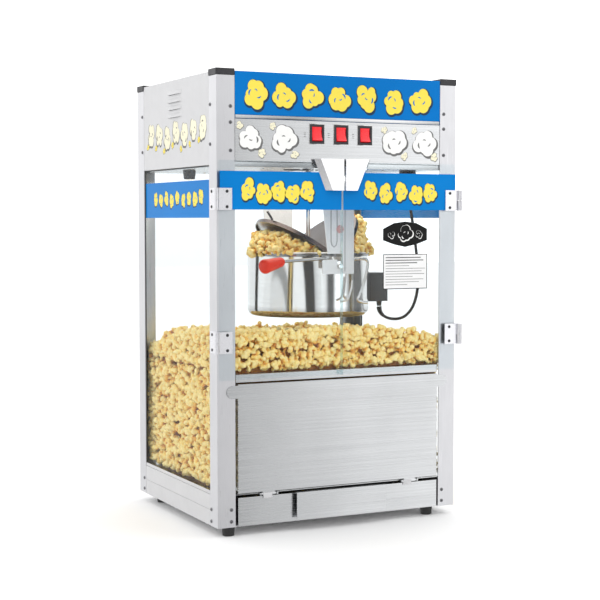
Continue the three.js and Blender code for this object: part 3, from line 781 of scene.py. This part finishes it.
def ceiling_details(steel, dark):
    ceiling = edges("ceiling_panel")[0].z
    rivets = []
    for x, y in ((120, 60), (136, 64), (200, 60), (380, 60), (120, 350), (380, 350)):
        rivets.append(lathe([(0, 0), (3.2, 0), (2.6, 1.2), (0, 1.8)], (x, y, ceiling),
                            (x, y, ceiling - 1), 20))
    piece("ceiling_rivets", rivets, steel)
    # A dark disc for the vent's opening: painted shade.
    vent = lathe([(0, 0), (26, 0), (25, 1.4), (20, 1.8), (0, 1.2)], (205, 90, ceiling),
                 (205, 90, ceiling - 1), 48)
    piece("ceiling_vent", vent, dark)


# ---------------- switches
def switches(black, red, steel):
    """Curved rockers in their housings, each with a thin bright rim."""
    tilt = math.radians(-9)
    columns = 9
    for number in (1, 2, 3):
        low, high = edges(f"switch_rocker_{number}")
        loops = []
        for i in range(columns):
            share = i / (columns - 1)
            pull = 0.35 * (2 * share - 1) ** 8
            face = [(-2.2 - 3.0 * (k / 6 - 1) ** 2 + pull, 12.6 * (1 - k / 6)) for k in range(13)]
            back = [(3, -12.6), (6, -4), (6, 4), (3, 12.6)]
            loops.append([
                (low.x + (high.x - low.x) * share,
                 2 + y * math.cos(tilt) - z * math.sin(tilt),
                 726 + y * math.sin(tilt) + z * math.cos(tilt))
                for y, z in face + back
            ])
        piece(f"switch_rocker_{number}_shown", rings(loops), red, f"rocker_{number}", 50,
              f"switch_rocker_{number}")

        soften(f"switch_housing_{number}", black, 0.9)
        low, high = edges(f"switch_housing_{number}")
        face = edges("control_panel")[0].y
        left, right, foot, head = low.x - 0.9, high.x + 0.9, low.z - 0.9, high.z + 0.9
        rim = [rounded_box((x0, face - 1.1, z0), (x1, face + 0.1, z1), 0.3)
               for x0, x1, z0, z1 in ((left, left + 1.2, foot, head), (right - 1.2, right, foot, head),
                                      (left, right, foot, foot + 1.2), (left, right, head - 1.2, head))]
        piece(f"switch_rim_{number}", rim, steel)


# ---------------- kettle
PIVOT_Z = 476  # the pins that the kettle tips about
POT_RADIUS = 123.0
POT_RIM = 503.0


def kettle_pot(x, y, steel, rim_steel):
    """The turned pot with its rolled bead, and the band pressed round its rim, whose darker steel is
    painted reflection.
    """
    radius, wall, corner = POT_RADIUS, 2.0, 13.0
    floor, rim = edges("kettle_pot")[0].z, POT_RIM

    def bend(r, steps=8):
        return [(radius - corner + r * math.cos(a), floor + corner + r * math.sin(a))
                for a in (math.radians(-90 + 90 * k / steps) for k in range(steps + 1))]

    bead = [(radius + 1.5 + 1.5 * math.cos(a), rim - 1.6 + 1.6 * math.sin(a))
            for a in (math.radians(-120 + 30 * k) for k in range(9))]
    profile = ([(0.01, floor)] + bend(corner) + [(radius, rim - 4)] + bead
               + [(radius - wall, rim - 1)] + bend(corner - wall)[::-1] + [(0.01, floor + wall)])
    piece("kettle_pot_shown", lathe(profile, (x, y, 0), (x, y, 1), 120), steel, "kettle", 40,
          "kettle_pot")
    # The band takes the dark rod steel: painted reflection.
    band = [(radius + out, rim + up) for out, up in (
        (-1, -9), (1.4, -8.6), (2, -6), (1.6, -4.4), (2.6, -3), (2.6, -1), (1.2, 0.2), (-1.4, 0.2),
        (-1.4, -1))]
    piece("kettle_rim", lathe(band, (x, y, 0), (x, y, 1), 120), rim_steel, "kettle", 50)


def kettle_bridge(x, y, steel):
    """The strap over the pot, open round the agitator's shaft, and the pins that it tips on."""
    shapes = [rounded_box((x + x0, y + y0, POT_RIM - 0.5), (x + x1, y + y1, POT_RIM + 2.5), 0.7)
              for x0, y0, x1, y1 in ((-11.5, -125, 11.5, -6), (-11.5, 6, 11.5, 125),
                                     (-11.5, -7, -5.8, 7), (5.8, -7, 11.5, 7))]
    for side in (-1, 1):
        seat = (x, y + side * (POT_RADIUS - 1.2), PIVOT_Z)
        ahead = (x, y + side * POT_RADIUS, PIVOT_Z)
        shapes += [lathe([(0, 0), (11, 0), (11, 13.4), (10, 14.2), (0, 14.2)], seat, ahead, 40),
                   lathe([(0, 10), (5, 10), (5, 22.6), (4.2, 23.2), (0, 23.2)], seat, ahead, 32)]
    piece("kettle_bridge", shapes, steel, "kettle")


def kettle_handle(rod_steel, red):
    foot = rounded_box((254, 77, 485), (272, 90.2, 497), 1.2)
    rod = smooth_line([(264, 80, 491), (240, 78, 490.2), (205, 75.5, 488.7), (166, 71.8, 486.8)])
    piece("handle_rod", [foot, tube(rod, 3.2, 20)], rod_steel, "kettle")

    line = Vector((-0.925, -0.337, -0.174)).normalized()
    start = Vector((168, 72.5, 487)) + line * 2
    profile = [(0, 0), (6.4, 0), (7.4, 0.9), (8.7, 4), (9.4, 6), (9.3, 7.5), (10, 12), (12.9, 40),
               (13.8, 45.5), (14, 48), (13.6, 50.6), (12, 53), (9.5, 54.3), (8.6, 53.9),
               (7.6, 54.5), (4, 55.3), (0, 55.4)]
    piece("handle_grip_shown", lathe(profile, start, start + line, 48), red, "kettle", 50,
          "handle_grip")


def junction_box(dark_paint):
    soften("junction_box", dark_paint, 1.2)
    low, high = edges("junction_box")
    cover = rounded_box((low.x + 8, low.y - 0.9, 402), (high.x - 4, low.y + 0.5, 453), 0.5)
    piece("junction_lid", cover, dark_paint, "kettle")


def kettle_lids(steel, painted_lid_shade, dark_paint):
    """Half lids that shine underneath and take painted shade, a dark steel, elsewhere; the left with a
    tab.
    """
    for side in ("left", "right"):
        lid = soften(f"kettle_lid_{side}", steel, 0.35)
        lid.data.materials.append(painted_lid_shade)
        # Painted shade: every face but the underside takes the dark steel.
        for polygon in lid.data.polygons:
            polygon.material_index = 0 if polygon.normal.z < -0.5 else 1
    tab = [(191.4, 171.3, 566), (188.5, 171.5, 571), (184, 172, 578), (180.5, 172, 583)]
    piece("lid_tab", tube(smooth_line(tab, 2), 2.4, 12), dark_paint, "lid_left")


def kettle_wires(x, steel):
    """The bent wires that hang in front of the pot."""
    outer = [(30, 68, 489.5), (46, 66.5, 490), (57, 66, 488), (60, 66, 480), (54, 66, 452),
             (42, 66.5, 420), (38, 67, 412), (41, 67, 407), (52, 67, 404.5), (60, 67, 404)]
    inner = [(31, 76, 448), (28, 76, 430), (21, 76, 412), (12, 77, 408), (5, 78, 407)]
    for name, points, radius in (("kettle_wire", outer, 2.7), ("kettle_inner_wire", inner, 2.0)):
        line = smooth_line([(x + right, y, z) for right, y, z in points], 3)
        piece(name, tube(line, radius, 14), steel)


def hangers(grey, rib_grey, pink):
    for name, facing in (("front", "front"), ("rear", "back")):
        soften(f"hanger_{name}", grey, 0.5)
        low, high = edges(f"hanger_{name}")
        face = low.y if name == "front" else high.y
        slot = [(269.5, 655), (269.5, 600), (269.5, 525), (271.5, 517), (276, 513.5),
                (280.5, 517), (282.5, 525), (282.5, 600), (282.5, 655)]
        fold = [(300, 655), (300, 560), (300, 466)]
        # Dark grey lines along the slot's edge and the fold: painted shade.
        for part, line, radius in (("shade_line", slot, 1.1), ("fold", fold, 0.9)):
            route = smooth_line([(x, face, z) for x, z in line], 6)
            piece(f"hanger_{part}_{name}", tube(route, radius, 10), rib_grey)
        screws(f"hanger_screw_{name}", [(289, face, 548, facing)], pink, pink,
               radius=8, height=2.2)


# ---------------- popcorn
def kernel_forms(count, seed):
    """Popped kernels 1 across: corner points, faces, and each point's value of toast and painted shade.
    """
    rng = np.random.default_rng(seed)
    ball = bmesh.new()
    bmesh.ops.create_icosphere(ball, subdivisions=3, radius=1)
    ball.verts.index_update()
    ways = np.array([v.co.normalized() for v in ball.verts])
    faces = np.array([[v.index for v in f.verts] for f in ball.faces])
    ball.free()
    forms = []
    for _ in range(count):
        lobes = rng.integers(8, 13)
        centres = rng.normal(size=(lobes, 3))
        centres /= np.linalg.norm(centres, axis=1, keepdims=True)
        centres *= rng.uniform(0.22, 0.42, (lobes, 1))
        radii = rng.uniform(0.11, 0.24, lobes)
        near = ways @ centres.T
        inside = radii ** 2 - (np.sum(centres ** 2, axis=1) - near ** 2)
        reach = np.where(inside > 0, near + np.sqrt(np.maximum(inside, 0)), 0.0)
        reach = np.sort(np.maximum(reach, 0.2), axis=1)
        radius = reach[:, -1]
        crease = np.exp(-(reach[:, -1] - reach[:, -2]) / 0.03)
        wave = np.sin(ways @ rng.normal(size=3) * 11 + rng.uniform(0, 6)) \
            * np.sin(ways @ rng.normal(size=3) * 10 + rng.uniform(0, 6))
        radius = radius * (1 + 0.08 * wave) - 0.035 * crease
        deep = 1 - (radius - radius.min()) / (radius.max() - radius.min())
        # High values deep in the kernel and in creases: partly toasted hull, partly painted shade.
        toast_and_shade = 0.46 * deep ** 1.7 + 0.28 * crease * deep + 0.07 * wave
        forms.append((ways * (radius * 0.5 / radius.max())[:, None], toast_and_shade))
    return forms, faces


def surface_points(node, spacing, seed, wanted):
    """Points spread over a CAD node's surface, at least a spacing apart, where wanted agrees."""
    mesh = NODES[node].data
    mesh.calc_loop_triangles()
    corners = np.array([[mesh.vertices[i].co for i in t.vertices] for t in mesh.loop_triangles])
    corners = (corners - np.array(CORNER)) / MM
    normals = np.cross(corners[:, 1] - corners[:, 0], corners[:, 2] - corners[:, 0])
    size = np.linalg.norm(normals, axis=1)
    normals /= np.maximum(size, 1e-9)[:, None]
    rng = np.random.default_rng(seed)
    count = int(size.sum() / 2 / spacing ** 2 * 14)
    chosen = rng.choice(len(size), count, p=size / size.sum())
    u, v = rng.random((2, count, 1))
    u, v = np.where(u + v > 1, 1 - u, u), np.where(u + v > 1, 1 - v, v)
    a, b, c = (corners[chosen, k] for k in range(3))
    points = a + u * (b - a) + v * (c - a)
    taken = {}
    kept = []
    for point, normal in zip(points, normals[chosen]):
        if not wanted(point, normal):
            continue
        cell = tuple((point // spacing).astype(int))
        near = [q for dx in (-1, 0, 1) for dy in (-1, 0, 1) for dz in (-1, 0, 1)
                for q in taken.get((cell[0] + dx, cell[1] + dy, cell[2] + dz), ())]
        if any(np.sum((q - point) ** 2) < spacing ** 2 for q in near):
            continue
        taken.setdefault(cell, []).append(point)
        kept.append((point, normal))
    return kept


def set_toast_and_shade(mesh, values):
    mesh.attributes.new("toast_and_shade", "FLOAT", "POINT").data.foreach_set(
        "value", values.astype(np.float32))


def kernels(name, places, seed, material, body, sizes, keep_in, forms):
    """One object of many kernels, each turned at random; keep_in holds them off the walls."""
    shapes, faces = forms
    rng = np.random.default_rng(seed)
    points, toast_and_shade_values, triangles = [], [], []
    for centre, normal in places:
        form, toast_and_shade = shapes[rng.integers(len(shapes))]
        turn = rng.normal(size=4)
        w, x, y, z = turn / np.linalg.norm(turn)
        spin = np.array([
            [1 - 2 * (y * y + z * z), 2 * (x * y - w * z), 2 * (x * z + w * y)],
            [2 * (x * y + w * z), 1 - 2 * (x * x + z * z), 2 * (y * z - w * x)],
            [2 * (x * z - w * y), 2 * (y * z + w * x), 1 - 2 * (x * x + y * y)],
        ])
        size = rng.uniform(*sizes)
        middle = keep_in(centre - normal * size * rng.uniform(0.3, 0.46), size)
        triangles.append(faces + len(points) * len(form))
        points.append(form @ spin.T * size + middle)
        burnt = rng.uniform(0.25, 0.5) if rng.random() < 0.03 else 0
        toast_and_shade_values.append(np.clip(toast_and_shade + rng.normal(0, 0.07) + burnt, 0, 1))
    points = np.concatenate(points)
    triangles = np.concatenate(triangles)
    mesh = bpy.data.meshes.new(name)
    mesh.from_pydata([at(*p) for p in points], [], triangles.tolist())
    set_toast_and_shade(mesh, np.concatenate(toast_and_shade_values))
    mesh.materials.append(material)
    mesh.shade_smooth()
    show(name, mesh, body)


MOST_KERNELS = 150  # in one object, which keeps it a size that can be printed


def kernel_groups(name, places, seed, *rest):
    """Kernels in as many objects as it takes."""
    for part, start in enumerate(range(0, len(places), MOST_KERNELS)):
        kernels(f"{name}_{part + 1}", places[start:start + MOST_KERNELS], seed + part, *rest)


def popcorn_bed(node, material, drop, inset, body):
    """The mass of popcorn behind the separate kernels: the CAD solid, drawn in and dark with painted
    shade.
    """
    mesh = NODES[node].data.copy()
    low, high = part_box(node)
    middle = (low + high) / 2
    half = (high - low) / 2
    for v in mesh.vertices:
        v.co.x = middle.x + (v.co.x - middle.x) * (1 - inset * MM / half.x)
        v.co.y = middle.y + (v.co.y - middle.y) * (1 - inset * MM / half.y)
        if v.co.z > low.z + 0.02:
            v.co.z -= drop * MM
    # Painted shade: the whole bed gets a dark value, as it lies in the kernels' shadow.
    set_toast_and_shade(mesh, np.full(len(mesh.vertices), 0.8))
    dress(mesh, material)
    show(f"{node}_bed", mesh, body, node)


def cabinet_popcorn(material, forms):
    low, high = edges("popcorn_heap")
    middle = (low + high) / 2
    ledge = edges("sill_rail")[1].z + 1
    behind_panel = 33

    def outside(point, normal):
        if normal[2] > 0.2:
            return True
        return normal[2] > -0.3 and np.dot(point[:2] - np.array(middle)[:2], normal[:2]) > 0

    def keep_in(point, size):
        point = np.clip(point, np.array(low) + size / 2 + 0.1, np.array(high) - size / 2 - 0.1)
        if point[2] > ledge - 2:
            point[2] = max(point[2], ledge + 0.42 * size)
        else:
            point[1] = max(point[1], behind_panel + size / 2)
        return point

    groups = {"left": [], "right": [], "front": [], "back": [], "top": []}
    for point, normal in surface_points("popcorn_heap", 12, 7, outside):
        if normal[2] > 0.2:
            group = "top"
        elif abs(normal[0]) > abs(normal[1]):
            group = "left" if normal[0] < 0 else "right"
        else:
            group = "front" if normal[1] < 0 else "back"
        groups[group].append((point, normal))
    for number, (group, chosen) in enumerate(groups.items()):
        kernel_groups(f"popcorn_{group}", chosen, 100 + 10 * number, material, "root", (25, 34),
                      keep_in, forms)
    popcorn_bed("popcorn_heap", material, drop=20, inset=25, body="root")


def kettle_popcorn(material, forms):
    centre = np.array(centre_xy("popcorn_batch"))

    def outside(point, normal):
        away = point[:2] - centre
        return point[2] > 488 and (normal[2] > 0.2 or np.dot(away, normal[:2]) > 0) \
            and np.hypot(*away) > 14 and normal[2] > -0.3

    coupling_low, coupling_high = edges("drive_coupling")
    pivot = np.array([centre[0], PIVOT_Z])

    def keep_in(point, size):
        """Holds a kernel near the pot's rim, and clear of the drive as the kettle tips."""
        point = np.maximum(point, [-np.inf, -np.inf, POT_RIM - 33 + size / 2])
        arm = point[[0, 2]] - pivot
        longest = coupling_low.z - PIVOT_Z - 2 - size / 2
        beside = abs(point[1] - centre[1]) < (coupling_high.y - coupling_low.y) / 2 + size / 2
        if beside and np.hypot(*arm) > longest:
            point[[0, 2]] = pivot + arm * longest / np.hypot(*arm)
        return point

    places = surface_points("popcorn_batch", 12.5, 3, outside)
    spilling = [(196, 127, 506), (205, 129, 503), (214, 126, 508), (186, 128, 505),
                (225, 124, 508), (208, 121, 515), (192, 120, 516), (178, 124, 507)]
    spilling += [(turn, out, height) for turn in range(-62, 50, 11)
                 for out, height in ((98, 540), (112, 526), (123, 511))]
    for turn, out, height in spilling:
        angle = math.radians(turn)
        point = np.array([centre[0] + out * math.cos(angle), centre[1] + out * math.sin(angle),
                          height + 8.0])
        places.append((point, np.array([0.0, 0.0, 1.0])))
    kernel_groups("popcorn_kettle", places, 9, material, "kettle", (23, 31), keep_in, forms)
    popcorn_bed("popcorn_batch", material, drop=10, inset=12, body="kettle")


# ---------------- stage
def area_light(name, place, target, size, power, color=(1, 1, 1)):
    data = bpy.data.lights.new(name, "AREA")
    data.shape = "RECTANGLE"
    data.size, data.size_y = size
    data.energy = power
    data.color = color
    light = add_object(name, data)
    light.location = place
    light.rotation_euler = (Vector(target) - Vector(place)).to_track_quat("-Z", "Y").to_euler()


FLOOR_REACH = 14  # metres to each side


def stage_floor(paper):
    ground = bmesh.new()
    bmesh.ops.create_grid(ground, x_segments=8, y_segments=8, size=FLOOR_REACH)
    mesh = mesh_of(ground, "floor")
    mesh.materials.append(paper)
    floor = add_object("floor", mesh)
    floor.visible_glossy = False  # polished metal shows the softboxes below the horizon too


# The light from the front, from left (-1) to right (1): softboxes with dark gaps between them.
SOFTBOXES = ((-1.0, 0.9), (-0.93, 0.9), (-0.91, 0.4), (-0.85, 0.4), (-0.83, 1.15), (-0.52, 1.15),
             (-0.49, 0.06), (-0.24, 0.06), (-0.20, 0.75), (0.02, 1.2), (0.13, 1.0), (0.22, 0.15),
             (0.37, 0.16), (0.45, 1.5), (0.72, 1.45), (0.84, 0.16), (1.0, 0.2))


def studio():
    """A white world: softboxes in front, even light behind, and more above the horizon."""
    world = bpy.data.worlds.new("studio")
    world.use_nodes = True
    nodes = Tree(world.node_tree)
    way = nodes.add("TexCoord")
    split = nodes.add("SeparateXYZ", vector=way.outputs["Generated"])
    across = nodes.combine("ADD", nodes.combine("MULTIPLY", split.outputs["X"], 0.5), 0.5)
    front = nodes.ramp(across, [(0.5 + 0.5 * x, (level, level, level)) for x, level in SOFTBOXES])
    behind = nodes.spread(split.outputs["Y"], 0.0, 1.04, -0.05, 0.3, "SMOOTHSTEP")
    above = nodes.spread(split.outputs["Z"], 0.0, 0.34, -0.12, 0.14, "SMOOTHSTEP")
    background = nodes.tree.nodes["Background"]
    background.inputs["Color"].default_value = (1, 1, 1, 1)
    level = nodes.combine("MAXIMUM", front, behind)
    nodes.put(background.inputs["Strength"], nodes.combine("ADD", level, above))
    bpy.context.scene.world = world
    bpy.context.scene.view_settings.view_transform = "Standard"

    area_light("top", (0.3, -0.6, 3.2), (0, 0, 0.45), (2.6, 2.6), 7)
    area_light("cabinet_lamp", at(MID, 190, 650), at(MID, 190, 300), (0.34, 0.26), 0.8,
               (1.0, 0.93, 0.82))


# ---------------- the machine
def make_looks():
    """The materials, but for the flex's."""
    round_grain = (1, 1, 1)
    return SimpleNamespace(
        post=brushed("post_aluminium", (0.64, 0.64, 0.66), 0.34, (1, 1, 0.015), swing=0.03),
        sheet=brushed("sheet_steel", (0.56, 0.57, 0.58), 0.24, (0.003, 1, 1), swing=0.015),
        white=coated("white_paint", (0.585, 0.585, 0.595), 0.42),
        handle=brushed("handle_steel", (0.80, 0.80, 0.82), 0.14, (1, 1, 0.02), swing=0.015),
        hinge=brushed("hinge_steel", (0.78, 0.78, 0.81), 0.3, (1, 0.1, 1)),
        wire=brushed("wire_steel", (0.72, 0.71, 0.70), 0.2, round_grain, slot="kettle_steel"),
        lid=brushed("lid_steel", (0.60, 0.60, 0.59), 0.3, (1, 0.03, 1)),
        # Painted shade: a dark copy of the lid steel for the lids' tops and edges.
        painted_lid_shade=brushed("lid_oiled", (0.13, 0.105, 0.10), 0.34, (1, 0.03, 1), slot="lid_steel"),
        # A dark steel; on the kettle's rim band it is painted reflection.
        rod=brushed("rod_steel", (0.30, 0.30, 0.30), 0.2, round_grain, slot="kettle_steel"),
        screw=brushed("screw_steel", (0.20, 0.20, 0.21), 0.3, round_grain, slot="kettle_steel"),
        # Painted shade: a dark grey for lines along the hangers' slot and fold.
        shade_line=coated("rib_grey", (0.36, 0.36, 0.37), 0.4, slot="white_paint"),
        hanger=coated("hanger_grey", (0.76, 0.76, 0.77), 0.3, slot="white_paint"),
        glass_edge=glass_sheet("glass_edge", (0.84, 0.92, 0.93), 0.15),
        pot=polished_pot(),
        black=coated("black_plastic", (0.022, 0.022, 0.026), 0.42, depth=0.00006),
        foot=coated("foot_rubber", (0.015, 0.015, 0.015), 0.62, depth=0.0001),
        # Painted shade: the near-black of screw recesses, the ceiling vent and the space behind the
        # louvres.
        dark=coated("dark_recess", (0.03, 0.03, 0.033), 0.6, slot="black_plastic"),
        box=coated("box_paint", (0.055, 0.055, 0.058), 0.38),
        motor=coated("motor_casting", (0.25, 0.25, 0.27), 0.5, 500, 0.0002),
        # Painted light: a faint red glow on the rockers.
        red=glowing("switch_red", (0.70, 0.01, 0.02), (1.0, 0.03, 0.03), 0.25),
        grip=coated("grip_red", (0.74, 0.03, 0.01), 0.36, 300, 0.00004, specular_ior_level=0.2),
        lamp=glowing("lamp_glass", (1.0, 0.97, 0.9), (1.0, 0.93, 0.8), 0.8, 0.2),
        pink=coated("hanger_bolt", (0.62, 0.34, 0.33), 0.35, slot="grip_red"),
        clear=glass_sheet("glass", (0.965, 0.98, 0.985), 0.01),
        corn=popped(),
        sign=printed("sign_blue", (0.0, 0.165, 0.52), "sign_blue", swing=0.1),
    )


def make_inks(sign_blue):
    inks = {"band": printed("ink_band", (0.0, 0.19, 0.56), "sign_blue", swing=0.12),
            "blue": sign_blue}
    for name, color, slot in (("yellow", (0.88, 0.72, 0.10), "sign_blue"),
                              ("outline", (0.02, 0.05, 0.10), "sign_blue"),
                              ("cream", (0.86, 0.82, 0.62), "white_paint"),
                              ("white", (0.88, 0.88, 0.86), "white_paint"),
                              ("label", (0.86, 0.86, 0.86), "white_paint"),
                              ("grey", (0.16, 0.16, 0.16), "black_plastic"),
                              ("black", (0.012, 0.012, 0.012), "black_plastic")):
        inks[name] = printed(f"ink_{name}", color, slot)
    return inks


def cabinet(look):
    """The CAD nodes whose own shape is shown, with softened edges."""
    for side in ("left", "right"):
        for row in ("front", "rear"):
            soften(f"post_{row}_{side}", look.post, 0.5)
            soften(f"cap_{row}_{side}", look.black, 0.9)
            soften(f"foot_{row}_{side}", look.foot, 1.2)
        for level in ("lower", "upper"):
            soften(f"door_leaf_{level}_{side}", look.hinge, 0.3)
            soften(f"post_leaf_{level}_{side}", look.hinge, 0.3)
        soften(f"door_handle_{side}", look.handle, 0.5)
        soften(f"door_glass_{side}", look.clear, 0.5)
        dress(NODES[f"glass_{side}"].data, look.clear)
    dress(NODES["glass_rear"].data, look.clear)
    for node in ("base_housing", "header_shell", "roof_panel"):
        soften(node, look.white, 0.5)
    for node in ("floor_deck", "sill_rail", "control_panel", "tilt_panel", "kernel_drawer",
                 "drive_coupling", "ceiling_panel"):
        soften(node, look.sheet, 0.4)
    for node, material, width in (("header_sign", look.sign, 0.5), ("gear_motor", look.motor, 1.5),
                                  ("cord_outlet", look.black, 1.0), ("lamp_socket", look.black, 1.0),
                                  ("mains_gland", look.black, 0.8), ("lamp_bulb", look.lamp, 0.2)):
        soften(node, material, width)


def kettle(look):
    x, y = centre_xy("agitator")
    kettle_pot(x, y, look.pot, look.rod)
    kettle_bridge(x, y, look.pot)
    kettle_handle(look.rod, look.grip)
    junction_box(look.box)
    kettle_lids(look.lid, look.painted_lid_shade, look.box)
    soften("agitator", look.pot, 0.4)
    kettle_wires(x, look.wire)


def build():
    make_camera()
    make_cord(coated("flex_rubber", (0.018, 0.018, 0.02), 0.5, texture=1500))
    look = make_looks()
    inks = make_inks(look.sign)
    cabinet(look)
    cabinet_screws(look.screw, look.dark)
    hinge_screws(look.black, look.dark)
    header_prints(inks)
    glass_prints(inks)
    louvres(look.white, look.dark)
    cabinet_trim(look.sheet, look.white, look.black, look.glass_edge)
    drawer_details(look.white)
    ceiling_details(look.wire, look.dark)
    switches(look.black, look.red, look.wire)
    kettle(look)
    hangers(look.hanger, look.shade_line, look.pink)
    forms = kernel_forms(count=16, seed=4)
    cabinet_popcorn(look.corn, forms)
    kettle_popcorn(look.corn, forms)
    stage_floor(floor_paper())
    studio()


build()
